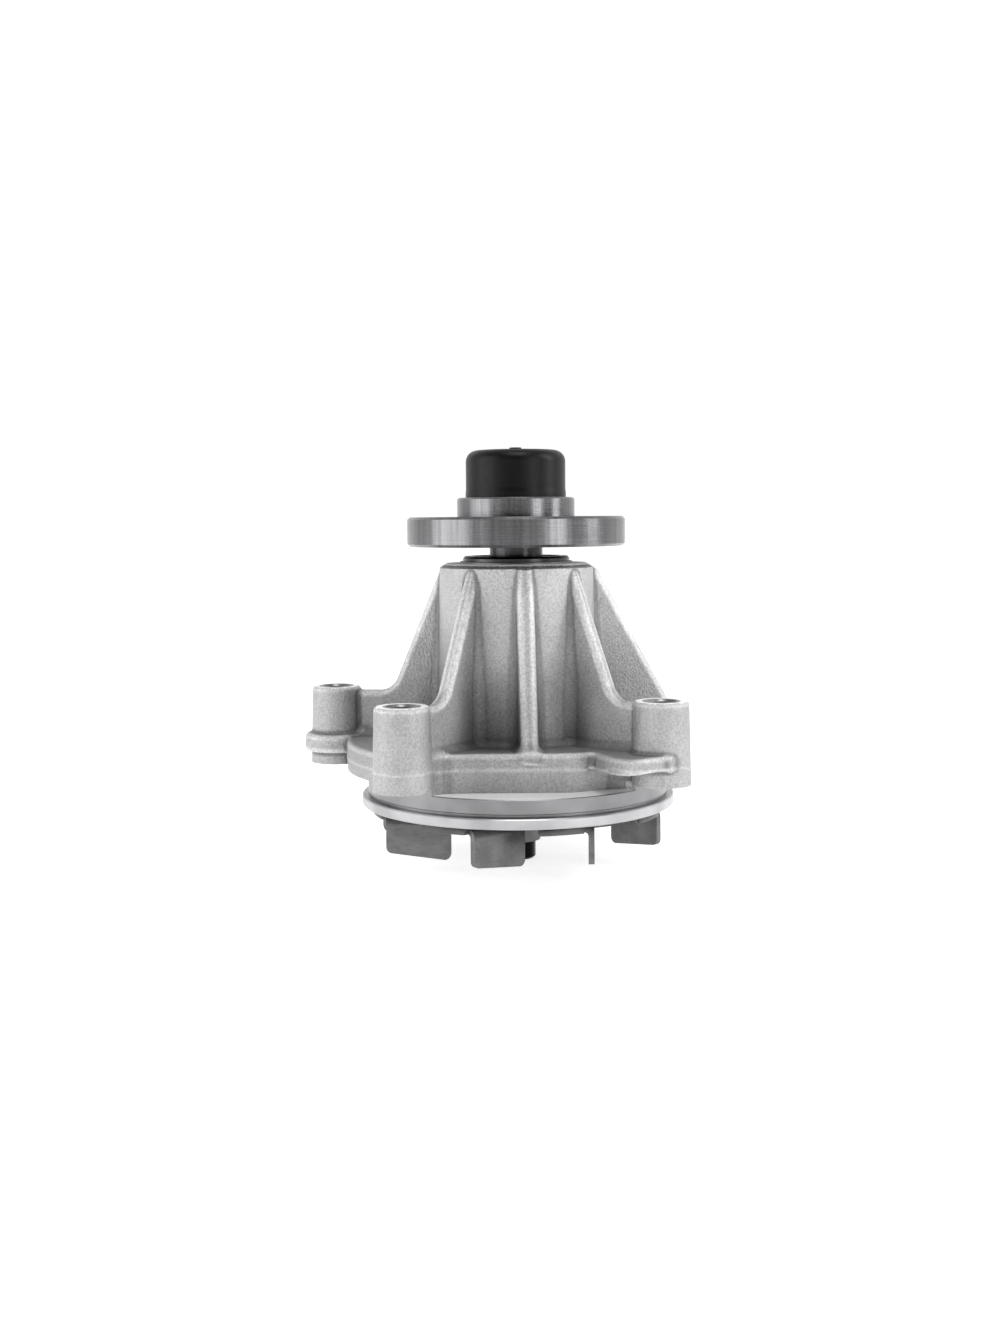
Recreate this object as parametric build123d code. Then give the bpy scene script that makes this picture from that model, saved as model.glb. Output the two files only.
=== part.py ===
from build123d import *
import os
from math import cos, degrees, hypot, atan2, pi, radians, sin

# Engine water pump. All lengths are in millimetres.
# Z is the shaft axis and points towards the pulley. Z = 0 is the plane in which
# the four bolt pads meet the engine. Directions round the axis are in degrees
# from -Y, the side without a flange, turning towards +X.

cut_margin = 1.0
arc_middle = cos(radians(45))

# ---- Shaft ----
shaft_radius = 9.48
shaft_hub_seat_radius = 7.95
shaft_seal_seat_radius = 7.96
shaft_stub_radius = 6.3
shaft_top = 109.3
shaft_bottom = -33.7
shaft_seal_step = 18.9
shaft_seal_step_rise = 1.0
shaft_end_chamfer = 0.7

# ---- Pulley hub ----
flange_radius = 38.8
flange_bottom = 78.4
flange_top = 88.8
flange_bevel = 0.9
pilot_collar_radius = 20.95
pilot_collar_top = 95.6
pilot_collar_bevel = 0.6
nose_radius = 16.0
nose_top = 110.2
nose_chamfer = 2.0
nose_relief_radius = 14.9
nose_relief_height = 2.0
nose_relief_rise = 1.0
pulley_bolt_count = 4
pulley_bolt_circle_radius = 30.0
pulley_bolt_hole_radius = 3.4
pulley_bolt_turn = 45.0

# ---- Thread cap ----
cap_base_radius = 17.9
cap_radius = 17.75
cap_base_height = 1.6
cap_crown = 112.4
cap_shoulder = 4.0
cap_top = 112.6
cap_inner_radius = 16.1
cap_inner_top = 111.1
cap_inner_chamfer = 2.7
cap_nib_radius = 2.15
cap_nib_height = 0.8

# ---- Shaft bearing: one ring, a row of balls and a row of rollers ----
bearing_radius = 19.05
bearing_bottom = 20.9
bearing_top = 74.9
bearing_chamfer = 0.8
raceway_radius = 15.58
running_gap = 0.05
ball_count = 8
ball_radius = 4.0
ball_pitch_radius = 12.54
ball_row_height = 33.0
ball_cage_radii = (11.6, 13.6)
ball_cage_half_height = 4.8
ball_pocket_gap = 0.12
roller_count = 10
roller_radius = 3.0
roller_pitch_radius = shaft_radius + roller_radius + running_gap
roller_length = 14.0
roller_chamfer = 0.4
roller_row_height = 58.0
roller_cage_radii = (11.5, 13.6)
roller_cage_half_height = 9.0
roller_pocket_gap = 0.12
seal_lip_radius = shaft_radius + 0.07
bearing_seal_height = 3.0
bearing_seal_rim = 1.4
bearing_seal_dish = 0.5
bearing_seal_lip = 1.5
front_seal_bottom = 71.1
rear_seal_bottom = 21.7

# ---- Mechanical seal between the wet side and the bearing ----
seal_bore_radius = 18.25
seal_case_wall = 0.8
seal_case_top = 11.0
seal_case_hole_radius = 10.2
seal_flange_radius = 20.8
seal_shoulder = -3.0
bellows_inner_radius = 11.2
bellows_wall = 1.0
washer_radii = (12.4, 16.8)
washer_thickness = 0.7
spring_mean_radius = 14.6
spring_wire_radius = 0.9
spring_turns = 3.5
carbon_radii = (9.4, 14.8)
carbon_nose_radii = (10.6, 13.2)
seal_face = -7.2
seal_face_gap = 0.05
carbon_nose_height = 0.95
carbon_top = -2.0
seat_radii = (8.9, 14.8)
seat_bottom = -12.0
seat_cup_radius = 16.6
seat_cup_top = -8.2

# ---- Slinger ----
slinger_radius = 13.8
slinger_low = 13.4
slinger_high = 16.6
slinger_rim = 1.1
slinger_hub_wall = 2.5
slinger_rim_bevel = 0.5

# ---- Stamped impeller ----
sheet = 2.0
impeller_top = -13.7
impeller_radius = 52.0
blade_count = 8
blade_length = 22.4
blade_outer_direction = 29.0
blade_lean = 3.0
blade_bend_radius = 1.3
blade_outer_tip = -26.4
blade_inner_tip = -29.2
blade_corner = 2.2
blade_notch_width = 13.0
blade_notch_flare = 9.0
blade_notch_corner = 3.0
neck_radius = 8.0
neck_bottom = -27.0
neck_fillet = 1.8

# ---- Housing tower ----
tower_radius = 27.6
tower_top = 72.4
tower_face_radius = 25.0
tower_cone_run = 6.0
tower_cone_drop = 3.8
bore_rim_radius = 20.1
bore_rim_height = 0.7
weep_chamber_radius = 16.8
weep_hole_radius = 2.5
weep_hole_height = 15.5
weep_hole_reach = 30.0
wet_cavity_radius = 24.0

# ---- Housing flange and pilot ----
body_radius = 61.0
body_top = 9.9
parting_height = 4.4
skirt_bottom = -3.2
land_radius = 53.6
land_bottom = -9.25
lip_radius = 55.7
lip_bottom = -12.8
lip_bevel = 0.4
core_pocket_radii = (30.0, 46.0)
core_pocket_roof = -7.0

# The front edge of the body stands back from the pilot. Its outline is open
# between the two front bosses, low down and again at the shelf above.
front_edge_low = [
    (-31.5, -80.0),
    (-31.5, -46.0),
    (-26.0, -41.5),
    (17.0, -41.5),
    (26.1, -36.6),
    (34.7, -32.8),
    (41.0, -34.0),
    (47.0, -80.0),
]
front_edge_high = [
    (-31.5, -80.0),
    (-31.5, -46.0),
    (-26.0, -41.5),
    (19.0, -41.5),
    (31.0, -48.0),
    (37.5, -53.0),
    (44.0, -55.2),
    (51.0, -55.0),
    (54.0, -80.0),
]

# ---- Bolt bosses: place, radius at the top and at the pad ----
boss_height = 27.7
boss_bevel = 0.9
bolt_hole_radius = 4.5
bolt_hole_chamfer = 0.5
bosses = {
    "left": (-66.0, 9.7, 8.7, 8.8),
    "front_left": (-37.4, -53.8, 9.2, 9.8),
    "front_right": (47.6, -43.5, 9.2, 9.8),
    "rear": (37.4, 53.5, 9.2, 9.8),
}
shelf_centre = (45.5, -43.8)
shelf_radius = 11.0
ear_radius = 11.6
ear_low = 3.0
ear_high = 10.8

# ---- Ribs ----
rib_thickness = 5.6
rib_root = 14.0
rib_shoulder_radius = 28.4
rib_shoulder_height = 68.0
boss_rib_slope = 0.41
boss_rib_ledge = 26.3
boss_rib_fillet = 4.5
plain_ribs = {
    6.2: (28.4, 40.6, 9.9),
    98.0: (30.1, 57.0, 18.6),
    -156.0: (28.4, 50.0, 9.9),
}


def turned(*outline):
    """Solid turned about Z from its (radius, height) corners."""
    corners = Polyline(*outline, close=True)
    return revolve(Plane.XZ * make_face(corners), Axis.Z)


def ring(inner, outer, low, high):
    """Plain ring about Z."""
    return turned((inner, low), (outer, low), (outer, high), (inner, high))


def drum(radius, low, high):
    """Cylinder about Z from one height to another."""
    upright = (Align.CENTER, Align.CENTER, Align.MIN)
    return Pos(0, 0, low) * Cylinder(radius, high - low, align=upright)


def slab(outline, low, high):
    """Flat plate of the given outline between two heights."""
    return Pos(0, 0, low) * extrude(make_face(Polyline(*outline, close=True)), high - low)


def around(direction, shape):
    """Turn a shape that was drawn along +X to a direction round the axis."""
    return Rot(0, 0, direction - 90) * shape


def evenly(count, radius):
    """Places of a row of rolling elements or bolts on a circle."""
    return [
        (radius * cos(2 * pi * index / count), radius * sin(2 * pi * index / count))
        for index in range(count)
    ]


# ---- Rotor ----


def make_shaft():
    shaft = turned(
        (0, shaft_bottom),
        (shaft_stub_radius - shaft_end_chamfer, shaft_bottom),
        (shaft_stub_radius, shaft_bottom + shaft_end_chamfer),
        (shaft_stub_radius, impeller_top),
        (shaft_seal_seat_radius, impeller_top),
        (shaft_seal_seat_radius, shaft_seal_step),
        (shaft_radius, shaft_seal_step + shaft_seal_step_rise),
        (shaft_radius, flange_bottom),
        (shaft_hub_seat_radius, flange_bottom),
        (shaft_hub_seat_radius, shaft_top - shaft_end_chamfer),
        (shaft_hub_seat_radius - shaft_end_chamfer, shaft_top),
        (0, shaft_top),
    )
    return shaft - ball_groove()


def make_pulley_hub():
    hub = turned(
        (shaft_hub_seat_radius, flange_bottom),
        (flange_radius - flange_bevel, flange_bottom),
        (flange_radius, flange_bottom + flange_bevel),
        (flange_radius, flange_top - flange_bevel),
        (flange_radius - flange_bevel, flange_top),
        (pilot_collar_radius, flange_top),
        (pilot_collar_radius, pilot_collar_top - pilot_collar_bevel),
        (pilot_collar_radius - pilot_collar_bevel, pilot_collar_top),
        (nose_relief_radius, pilot_collar_top),
        (nose_relief_radius, pilot_collar_top + nose_relief_height),
        (nose_radius, pilot_collar_top + nose_relief_height + nose_relief_rise),
        (nose_radius, nose_top - nose_chamfer),
        (nose_radius - nose_chamfer, nose_top),
        (shaft_hub_seat_radius, nose_top),
    )
    hole = drum(pulley_bolt_hole_radius, flange_bottom - cut_margin, flange_top + cut_margin)
    for x, y in evenly(pulley_bolt_count, pulley_bolt_circle_radius):
        hub -= Rot(0, 0, pulley_bolt_turn) * Pos(x, y, 0) * hole
    return hub


def make_thread_cap():
    shoulder_centre = (cap_radius - cap_shoulder, cap_crown - cap_shoulder)
    bend = cap_shoulder * arc_middle
    outline = Polyline(
        (0, cap_inner_top),
        (cap_inner_radius - cap_inner_chamfer, cap_inner_top),
        (cap_inner_radius, cap_inner_top - cap_inner_chamfer),
        (cap_inner_radius, pilot_collar_top),
        (cap_base_radius, pilot_collar_top),
        (cap_base_radius, pilot_collar_top + cap_base_height),
        (cap_radius, pilot_collar_top + 2 * cap_base_height),
        (cap_radius, shoulder_centre[1]),
    )
    outline += ThreePointArc(
        (cap_radius, shoulder_centre[1]),
        (shoulder_centre[0] + bend, shoulder_centre[1] + bend),
        (shoulder_centre[0], cap_crown),
    )
    outline += Polyline(
        (shoulder_centre[0], cap_crown),
        (cap_nib_radius, cap_top),
        (cap_nib_radius, cap_top + cap_nib_height),
        (0, cap_top + cap_nib_height),
        (0, cap_inner_top),
    )
    return revolve(Plane.XZ * make_face(outline), Axis.Z)


def make_impeller():
    disc_bottom = impeller_top - sheet
    bore = shaft_stub_radius
    fillet_step = neck_fillet * (1 - arc_middle)
    hub_section = Polyline(
        (neck_radius + neck_fillet, disc_bottom),
        (impeller_radius, disc_bottom),
        (impeller_radius, impeller_top),
        (bore, impeller_top),
        (bore, neck_bottom),
        (neck_radius, neck_bottom),
        (neck_radius, disc_bottom - neck_fillet),
    )
    hub_section += ThreePointArc(
        (neck_radius, disc_bottom - neck_fillet),
        (neck_radius + fillet_step, disc_bottom - fillet_step),
        (neck_radius + neck_fillet, disc_bottom),
    )
    impeller = revolve(Plane.XZ * make_face(hub_section), Axis.Z)
    notch = make_notch()
    blade = make_blade()
    for index in range(blade_count):
        turn = Rot(0, 0, index * 360 / blade_count)
        impeller -= turn * notch
    for index in range(blade_count):
        turn = Rot(0, 0, index * 360 / blade_count)
        impeller += turn * blade
    return impeller


def blade_frame():
    """Frame at a blade's outer end: +Y runs inwards along it, +X off its free side."""
    direction = radians(blade_outer_direction)
    x = impeller_radius * sin(direction)
    y = -impeller_radius * cos(direction)
    return Pos(x, y, 0) * Rot(0, 0, -blade_lean)


def make_notch():
    """Opening that a blade leaves in the disc when it is bent down. It widens outwards."""
    beyond = 12.0
    bend = blade_bend_radius + sheet
    outline = [
        (-bend, -beyond),
        (-bend, blade_length),
        (blade_notch_width, blade_length),
        (blade_notch_width + blade_notch_flare, -beyond),
    ]
    notch = slab(outline, impeller_top - 2 * sheet, impeller_top + sheet)
    inner_corners = notch.edges().filter_by(Axis.Z).sort_by(Axis.Y)[-2:]
    return blade_frame() * fillet(inner_corners, blade_notch_corner)


def make_blade():
    """Blade bent down along the disc's arm, its lower edge deeper at the inner end."""
    bend_outer = blade_bend_radius + sheet
    arm_overlap = 1.0
    inner_bow = blade_bend_radius * arc_middle
    outer_bow = bend_outer * arc_middle
    section = Polyline(
        (0, impeller_top - bend_outer),
        (0, blade_inner_tip),
        (-sheet, blade_inner_tip),
        (-sheet, impeller_top - bend_outer),
    )
    section += ThreePointArc(
        (-sheet, impeller_top - bend_outer),
        (-bend_outer + inner_bow, impeller_top - bend_outer + inner_bow),
        (-bend_outer, impeller_top - sheet),
    )
    section += Polyline(
        (-bend_outer, impeller_top - sheet),
        (-bend_outer - arm_overlap, impeller_top - sheet),
        (-bend_outer - arm_overlap, impeller_top),
        (-bend_outer, impeller_top),
    )
    section += ThreePointArc(
        (-bend_outer, impeller_top),
        (-bend_outer + outer_bow, impeller_top - bend_outer + outer_bow),
        (0, impeller_top - bend_outer),
    )
    blade = extrude(Plane.XZ * make_face(section), -blade_length)
    below = blade_inner_tip - cut_margin
    trim = make_face(
        Polyline(
            (-cut_margin, blade_outer_tip),
            (blade_length, blade_inner_tip),
            (blade_length + cut_margin, below),
            (-cut_margin, below),
            close=True,
        )
    )
    blade -= extrude(Plane.YZ * trim, bend_outer + arm_overlap, both=True)
    tip_edges = blade.edges().filter_by(Axis.X).sort_by(Axis.Z)[:2]
    return blade_frame() * fillet(tip_edges, blade_corner)


def make_seal_seat():
    return ring(seat_radii[0], seat_radii[1], seat_bottom, seal_face)


def make_seat_cup():
    return turned(
        (shaft_seal_seat_radius, impeller_top),
        (seat_cup_radius, impeller_top),
        (seat_cup_radius, seat_cup_top),
        (seat_radii[1], seat_cup_top),
        (seat_radii[1], seat_bottom),
        (seat_radii[0], seat_bottom),
        (seat_radii[0], seat_cup_top),
        (shaft_seal_seat_radius, seat_cup_top),
    )


def make_slinger():
    return turned(
        (shaft_seal_seat_radius, slinger_low),
        (shaft_seal_seat_radius + slinger_hub_wall, slinger_low),
        (slinger_radius - slinger_rim_bevel, slinger_high - slinger_rim - slinger_rim_bevel),
        (slinger_radius, slinger_high - slinger_rim),
        (slinger_radius, slinger_high),
        (shaft_seal_seat_radius, slinger_high),
    )


# ---- Bearing ----


def ball_groove():
    """Groove that the row of balls runs in, cut half from the shaft, half from the ring."""
    return Pos(0, 0, ball_row_height) * Torus(ball_pitch_radius, ball_radius + running_gap)


def make_bearing_outer_ring():
    body = turned(
        (raceway_radius, bearing_bottom),
        (bearing_radius - bearing_chamfer, bearing_bottom),
        (bearing_radius, bearing_bottom + bearing_chamfer),
        (bearing_radius, bearing_top - bearing_chamfer),
        (bearing_radius - bearing_chamfer, bearing_top),
        (raceway_radius, bearing_top),
    )
    return body - ball_groove()


def make_bearing_seal(bottom, lip_side):
    """Seal pressed in the ring's end, with its lip turned to the outside."""
    top = bottom + bearing_seal_height
    middle = bottom + bearing_seal_height / 2
    outer_face = top if lip_side > 0 else bottom
    inner_face = bottom if lip_side > 0 else top
    dished_face = outer_face - bearing_seal_dish * lip_side
    return turned(
        (raceway_radius, inner_face),
        (raceway_radius, outer_face),
        (raceway_radius - bearing_seal_rim, outer_face),
        (raceway_radius - bearing_seal_rim - bearing_seal_dish, dished_face),
        (seal_lip_radius + bearing_seal_lip, dished_face),
        (seal_lip_radius, outer_face),
        (seal_lip_radius, middle),
        (seal_lip_radius + bearing_seal_lip / 2, inner_face),
    )


def make_bearing_balls():
    return [
        Pos(x, y, ball_row_height) * Sphere(ball_radius)
        for x, y in evenly(ball_count, ball_pitch_radius)
    ]


def make_ball_cage():
    low = ball_row_height - ball_cage_half_height
    high = ball_row_height + ball_cage_half_height
    cage = ring(ball_cage_radii[0], ball_cage_radii[1], low, high)
    pocket = Rot(0, 90, 0) * Cylinder(ball_radius + ball_pocket_gap, ball_radius)
    for index in range(ball_count):
        turn = Rot(0, 0, index * 360 / ball_count)
        cage -= turn * Pos(ball_pitch_radius, 0, ball_row_height) * pocket
    return cage


def make_bearing_rollers():
    roller = Cylinder(roller_radius, roller_length)
    roller = chamfer(roller.edges().filter_by(GeomType.CIRCLE), roller_chamfer)
    return [
        Pos(x, y, roller_row_height) * roller
        for x, y in evenly(roller_count, roller_pitch_radius)
    ]


def make_roller_cage():
    low = roller_row_height - roller_cage_half_height
    high = roller_row_height + roller_cage_half_height
    cage = ring(roller_cage_radii[0], roller_cage_radii[1], low, high)
    pocket = Cylinder(roller_radius + roller_pocket_gap, roller_length + 2 * roller_pocket_gap)
    for x, y in evenly(roller_count, roller_pitch_radius):
        cage -= Pos(x, y, roller_row_height) * pocket
    return cage


# ---- Mechanical seal ----


def make_seal_case():
    inner = seal_bore_radius - seal_case_wall
    roof = seal_case_top - seal_case_wall
    return turned(
        (inner, seal_shoulder - seal_case_wall),
        (seal_flange_radius, seal_shoulder - seal_case_wall),
        (seal_flange_radius, seal_shoulder),
        (seal_bore_radius, seal_shoulder),
        (seal_bore_radius, seal_case_top),
        (seal_case_hole_radius, seal_case_top),
        (seal_case_hole_radius, roof),
        (inner, roof),
    )


def make_seal_bellows():
    sleeve = bellows_inner_radius + bellows_wall
    roof = seal_case_top - seal_case_wall
    return turned(
        (bellows_inner_radius, carbon_top),
        (carbon_radii[1], carbon_top),
        (carbon_radii[1], carbon_top + bellows_wall),
        (sleeve, carbon_top + bellows_wall),
        (sleeve, roof - bellows_wall),
        (washer_radii[1], roof - bellows_wall),
        (washer_radii[1], roof),
        (bellows_inner_radius, roof),
    )


def lower_washer_span():
    low = carbon_top + bellows_wall
    return low, low + washer_thickness


def upper_washer_span():
    high = seal_case_top - seal_case_wall - bellows_wall
    return high - washer_thickness, high


def make_seal_spring():
    low = lower_washer_span()[1] + spring_wire_radius + running_gap
    high = upper_washer_span()[0] - spring_wire_radius - running_gap
    path = Helix(pitch=(high - low) / spring_turns, height=high - low, radius=spring_mean_radius)
    section = Plane(origin=path @ 0, z_dir=path % 0) * Circle(spring_wire_radius)
    return Pos(0, 0, low) * sweep(section, path=path, is_frenet=True)


def make_carbon_ring():
    nose_foot = seal_face + seal_face_gap
    return turned(
        (carbon_radii[0], carbon_top),
        (carbon_radii[0], nose_foot + carbon_nose_height),
        (carbon_nose_radii[0], nose_foot + carbon_nose_height),
        (carbon_nose_radii[0], nose_foot),
        (carbon_nose_radii[1], nose_foot),
        (carbon_nose_radii[1], nose_foot + carbon_nose_height),
        (carbon_radii[1], nose_foot + carbon_nose_height),
        (carbon_radii[1], carbon_top),
    )


# ---- Housing ----


def rib_plate(section):
    """Upright rib of a given (radius, height) section, drawn along +X."""
    return extrude(Plane.XZ * section, rib_thickness / 2, both=True)


def make_boss_rib(boss_distance):
    """Rib that leans down the tower and then runs level into a boss."""
    drop = rib_shoulder_height - boss_rib_ledge
    foot = rib_shoulder_radius + boss_rib_slope * drop
    outline = Polyline(
        (rib_root, 0),
        (rib_root, tower_top),
        (rib_shoulder_radius, tower_top),
        (rib_shoulder_radius, rib_shoulder_height),
        (foot, boss_rib_ledge),
        (boss_distance, boss_rib_ledge),
        (boss_distance, 0),
        close=True,
    )
    section = make_face(outline)
    corner = section.vertices().sort_by_distance((foot, boss_rib_ledge))[0]
    return rib_plate(fillet(corner, boss_rib_fillet))


def make_plain_rib(shoulder, foot, foot_height):
    """Rib that leans down the tower and ends on the body."""
    outline = Polyline(
        (rib_root, 0),
        (rib_root, tower_top),
        (shoulder, tower_top),
        (shoulder, rib_shoulder_height),
        (foot, foot_height),
        (foot, 0),
        close=True,
    )
    return rib_plate(make_face(outline))


def make_boss(x, y, top_radius, pad_radius):
    post = turned(
        (0, 0),
        (pad_radius, 0),
        (top_radius, boss_height - boss_bevel),
        (top_radius - boss_bevel, boss_height),
        (0, boss_height),
    )
    return Pos(x, y, 0) * post


def make_bolt_hole(x, y):
    hole = turned(
        (0, -cut_margin),
        (bolt_hole_radius, -cut_margin),
        (bolt_hole_radius, boss_height - bolt_hole_chamfer),
        (bolt_hole_radius + bolt_hole_chamfer + cut_margin, boss_height + cut_margin),
        (0, boss_height + cut_margin),
    )
    return Pos(x, y, 0) * hole


def make_body():
    """Flange, skirt and pilot that carry the tower."""
    low_opening = slab(front_edge_low, skirt_bottom, parting_height)
    high_opening = slab(front_edge_high, parting_height, body_top + cut_margin)
    flange_low = drum(body_radius, 0, parting_height) - low_opening
    flange_high = drum(body_radius, parting_height, body_top) - high_opening
    skirt = drum(land_radius, skirt_bottom, 0) - low_opening
    pilot = turned(
        (0, lip_bottom),
        (lip_radius - lip_bevel, lip_bottom),
        (lip_radius, lip_bottom + lip_bevel),
        (lip_radius, land_bottom - lip_bevel),
        (lip_radius - lip_bevel, land_bottom),
        (land_radius, land_bottom),
        (land_radius, skirt_bottom),
        (0, skirt_bottom),
    )
    shelf = Pos(*shelf_centre, 0) * drum(shelf_radius, parting_height, body_top)
    return flange_low + flange_high + skirt + pilot + shelf


def make_tower():
    tower = drum(tower_radius, 0, tower_top)
    tower += ring(bearing_radius, bore_rim_radius, tower_top, tower_top + bore_rim_height)
    for x, y, _, _ in bosses.values():
        direction = degrees(atan2(y, x)) + 90
        tower += around(direction, make_boss_rib(hypot(x, y)))
    for direction, (shoulder, foot, foot_height) in plain_ribs.items():
        tower += around(direction, make_plain_rib(shoulder, foot, foot_height))
    cone = turned(
        (tower_face_radius, tower_top),
        (tower_face_radius + tower_cone_run, tower_top - tower_cone_drop),
        (tower_face_radius + 2 * tower_cone_run, tower_top - tower_cone_drop),
        (tower_face_radius + 2 * tower_cone_run, tower_top + cut_margin),
        (tower_face_radius, tower_top + cut_margin),
    )
    return tower - cone


def make_housing_bore():
    """Everything that is turned out of the housing on its axis."""
    above = tower_top + bore_rim_height + cut_margin
    return turned(
        (0, lip_bottom - cut_margin),
        (wet_cavity_radius, lip_bottom - cut_margin),
        (wet_cavity_radius, seal_shoulder),
        (seal_bore_radius, seal_shoulder),
        (seal_bore_radius, seal_case_top),
        (weep_chamber_radius, seal_case_top),
        (weep_chamber_radius, bearing_bottom),
        (bearing_radius, bearing_bottom),
        (bearing_radius, above),
        (0, above),
    )


def make_housing():
    housing = make_body() + make_tower()
    for x, y, top_radius, pad_radius in bosses.values():
        housing += make_boss(x, y, top_radius, pad_radius)
    left_x, left_y = bosses["left"][:2]
    housing += Pos(left_x, left_y, 0) * drum(ear_radius, ear_low, ear_high)
    for x, y, _, _ in bosses.values():
        housing -= make_bolt_hole(x, y)
    housing -= make_housing_bore()
    housing -= ring(*core_pocket_radii, lip_bottom - cut_margin, core_pocket_roof)
    weep_hole = Rot(90, 0, 0) * Cylinder(weep_hole_radius, weep_hole_reach)
    return housing - Pos(0, tower_radius, weep_hole_height) * weep_hole


# ---- Write every piece to its own file ----

pieces = {
    "housing": make_housing(),
    "bearing_outer_ring": make_bearing_outer_ring(),
    "front_bearing_seal": make_bearing_seal(front_seal_bottom, 1),
    "rear_bearing_seal": make_bearing_seal(rear_seal_bottom, -1),
    "bearing_balls": make_bearing_balls(),
    "ball_cage": make_ball_cage(),
    "bearing_rollers": make_bearing_rollers(),
    "roller_cage": make_roller_cage(),
    "shaft": make_shaft(),
    "pulley_hub": make_pulley_hub(),
    "thread_cap": make_thread_cap(),
    "impeller": make_impeller(),
    "slinger": make_slinger(),
    "seal_seat": make_seal_seat(),
    "seat_cup": make_seat_cup(),
    "carbon_ring": make_carbon_ring(),
    "seal_bellows": make_seal_bellows(),
    "lower_spring_washer": ring(*washer_radii, *lower_washer_span()),
    "upper_spring_washer": ring(*washer_radii, *upper_washer_span()),
    "seal_spring": make_seal_spring(),
    "seal_case": make_seal_case(),
}

os.makedirs("parts", exist_ok=True)
for name, piece in pieces.items():
    solids = piece if isinstance(piece, list) else [piece]
    solids = [solid for shape in solids for solid in shape.solids()]
    export_step(Compound(children=solids), f"parts/{name}.step")
    print(name, len(solids))
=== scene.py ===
import math
import bpy
import bmesh
import numpy as np
from mathutils import Matrix, Vector


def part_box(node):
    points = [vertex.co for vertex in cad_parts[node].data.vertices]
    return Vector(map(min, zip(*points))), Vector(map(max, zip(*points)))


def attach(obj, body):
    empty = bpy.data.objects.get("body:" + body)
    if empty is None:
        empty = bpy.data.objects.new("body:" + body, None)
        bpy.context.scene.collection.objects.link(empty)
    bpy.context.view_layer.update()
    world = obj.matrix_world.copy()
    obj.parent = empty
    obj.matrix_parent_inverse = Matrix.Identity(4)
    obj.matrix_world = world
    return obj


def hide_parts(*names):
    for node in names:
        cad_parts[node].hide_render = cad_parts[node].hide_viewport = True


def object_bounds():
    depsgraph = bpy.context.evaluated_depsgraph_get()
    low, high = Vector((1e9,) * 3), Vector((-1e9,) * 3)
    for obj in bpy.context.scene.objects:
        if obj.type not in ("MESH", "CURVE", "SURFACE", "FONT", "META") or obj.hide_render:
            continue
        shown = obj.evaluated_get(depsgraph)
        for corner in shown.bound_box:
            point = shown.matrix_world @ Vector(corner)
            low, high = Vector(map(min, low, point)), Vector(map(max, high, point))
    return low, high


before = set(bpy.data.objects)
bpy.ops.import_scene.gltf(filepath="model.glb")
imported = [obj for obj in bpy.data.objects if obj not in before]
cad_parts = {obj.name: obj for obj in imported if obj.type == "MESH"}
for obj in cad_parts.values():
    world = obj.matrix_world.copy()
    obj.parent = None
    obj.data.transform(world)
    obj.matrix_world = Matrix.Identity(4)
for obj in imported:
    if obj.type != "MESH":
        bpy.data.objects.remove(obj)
cad_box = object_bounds()

# Shapes below are worked out in millimetres and turned into metres when a mesh is made.
MM = 0.001
TINY = 1e-9


def span(node):
    """A CAD node's lowest and highest corner in millimetres."""
    low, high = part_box(node)
    return [c / MM for c in low], [c / MM for c in high]


# ---- Driving sizes of the housing, in millimetres ----
housing_low, housing_high = span("housing")
bore_radius = span("bearing_outer_ring")[1][0]
bearing_foot = span("bearing_outer_ring")[0][2]
LIP_BOTTOM = housing_low[2]
LIP_RADIUS = 55.7
LIP_TOP = LIP_BOTTOM + 3.55
LIP_INNER_RADIUS = 46.0
LAND_RADIUS = 53.6
SKIRT_BOTTOM = -3.2
WET_CAVITY_RADIUS = 24.0
WET_CAVITY_TOP = -3.0
SEAL_BORE_RADIUS = 18.25
SEAL_BORE_TOP = span("seal_case")[1][2]
CHAMBER_RADIUS = 16.8
TOWER_TOP = housing_high[2] - 0.7
TOWER_RADIUS = 27.4
TOWER_DRAFT = 0.012
CONE_RADIUS = 25.0
CONE_SLOPE = 3.8 / 6.0
RING_SEAT_RADIUS = 20.1
BODY_RADIUS = 61.0
BODY_TOP = 9.9
BODY_CORNER = 3.0
SHELF_RISE = (1.5, 0.8)  # of the shelf's floor and of its top, where the shelf is widest
SHELF_FILLET = 2.5
EAR_RADIUS = 11.6
EAR_TOP = 10.8
PARTING = 4.4
WALL_DRAFT = 0.03
FLASH_HEIGHT = 0.14
FLASH_WIDTH = 0.4
FLASH_RISE = 2.2
SEAM_RADIUS = 38.0
# How much painted highlight the flash line gets.
SEAM_LIGHT = 0.3
BOX_MARGIN = 0.03
BOSS_TOP = 27.7
LEDGE = 26.3
BOLT_RADIUS = 4.5
RIM_RADIUS = 6.4
RIM_DEPTH = 5.0
RIB_ROOT = 12.0
RIB_SHOULDER = 28.4
RIB_SHOULDER_HEIGHT = 68.0
RIB_DRAFT = 0.02
RIB_FILLET = (0.8, 3.5)  # at the shoulder and 40 mm or more below it
RIB_FILLET_DROP = 40.0
RIB_EDGE = 2.1
RIB_SINK = 1.5
BOSS_RIB_SLOPE = 0.41
BOSS_RIB_CORNER = 4.2
BOSS_RIB_THICKNESS = 5.2
PLAIN_RIB_THICKNESS = 6.0
BOSS_FILLET = 1.2
BOSS_EDGE = 1.3
EAR_FILLET = 1.0
FLANGE_FILLET = 3.0
# Bolt bosses: middle (x, y), radius at the top, radius at the mounting plane.
bosses = [
    (-66.0, 9.7, 8.7, 9.4),
    (-37.4, -53.8, 9.2, 9.8),
    (47.6, -43.5, 9.2, 9.8),
    (37.4, 53.5, 9.2, 9.8),
]
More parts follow.
